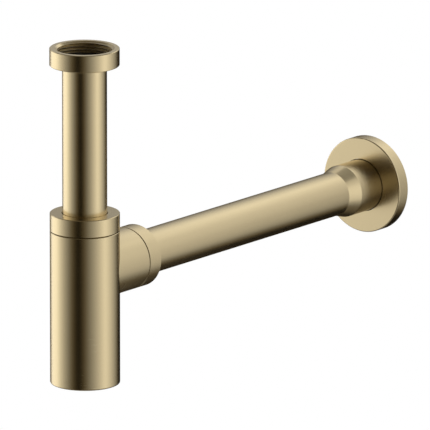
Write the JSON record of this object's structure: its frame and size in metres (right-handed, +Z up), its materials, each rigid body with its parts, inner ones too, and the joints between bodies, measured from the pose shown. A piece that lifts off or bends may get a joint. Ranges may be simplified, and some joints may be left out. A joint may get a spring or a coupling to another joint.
{
  "type": "sink trap",
  "caption": "Round bottle trap for a wash basin, with a threaded inlet nut, a water-seal bottle and a long outlet pipe to a wall flange.",
  "frame": {"origin": "centre of the inlet nut's mouth, where the basin waste screws in", "axes": "+Z up along the inlet pipe, +X along the outlet pipe towards the wall"},
  "size_m": [0.365, 0.07, 0.2455],
  "materials": {
    "brass": "brushed satin, gold bronze",
    "rubber": "matt black",
    "nylon": "natural white"
  },
  "bodies": {
    "inlet_pipe": {"inlet_pipe": "brass", "inlet_washer": "rubber"},
    "inlet_nut": {"inlet_nut": "brass"},
    "cap_seal": {"cap_seal": "rubber"},
    "bottle": {"bottle_body": "brass", "outlet_seal": "rubber"},
    "cap_ring": {"cap_slip_ring": "nylon"},
    "cap": {"bottle_cap": "brass"},
    "outlet_ring": {"outlet_slip_ring": "nylon"},
    "outlet_nut": {"outlet_nut": "brass"},
    "outlet_pipe": {"outlet_pipe": "brass"},
    "wall_flange": {"wall_flange": "brass", "flange_o_ring": "rubber"},
    "plug_ring": {"base_washer": "rubber"},
    "base_plug": {"base_plug": "brass"}
  },
  "joints": [
    {"name": "inlet_nut_turn", "type": "hinge", "parent": "inlet_pipe", "child": "inlet_nut", "pos_m": [0, 0, -0.00625], "axis": [0, 0, 1], "continuous": true},
    {"name": "bottle_height", "type": "slide", "parent": "inlet_pipe", "child": "cap_seal", "axis": [0, 0, 1], "range_m": [-0.04, 0.009]},
    {"name": "bottle_turn", "type": "hinge", "parent": "cap_seal", "child": "bottle", "pos_m": [0, 0, -0.1336], "axis": [0, 0, 1], "continuous": true},
    {"name": "cap_lift", "type": "slide", "parent": "bottle", "child": "cap_ring", "axis": [0, 0, 1], "range_m": [0, 0.008]},
    {"name": "cap_turn", "type": "hinge", "parent": "cap_ring", "child": "cap", "pos_m": [0, 0, -0.1205], "axis": [0, 0, 1], "range_deg": [0, 1440]},
    {"name": "outlet_nut_back", "type": "slide", "parent": "bottle", "child": "outlet_ring", "axis": [1, 0, 0], "range_m": [0, 0.008]},
    {"name": "outlet_nut_turn", "type": "hinge", "parent": "outlet_ring", "child": "outlet_nut", "pos_m": [0.046, 0, -0.1635], "axis": [1, 0, 0], "range_deg": [0, 1440]},
    {"name": "outlet_reach", "type": "slide", "parent": "bottle", "child": "outlet_pipe", "axis": [1, 0, 0], "range_m": [-0.0047, 0.01]},
    {"name": "flange_slide", "type": "slide", "parent": "outlet_pipe", "child": "wall_flange", "axis": [1, 0, 0], "range_m": [-0.021, 0.012]},
    {"name": "plug_drop", "type": "slide", "parent": "bottle", "child": "plug_ring", "axis": [0, 0, -1], "range_m": [0, 0.006]},
    {"name": "plug_turn", "type": "hinge", "parent": "plug_ring", "child": "base_plug", "pos_m": [0, 0, -0.2455], "axis": [0, 0, -1], "range_deg": [0, 1080]}
  ],
  "couplings": [
    {"joint": "cap_lift", "follows": "cap_turn", "m_per_rad": 0.00031831},
    {"joint": "outlet_nut_back", "follows": "outlet_nut_turn", "m_per_rad": 0.00031831},
    {"joint": "plug_drop", "follows": "plug_turn", "m_per_rad": 0.00031831}
  ]
}
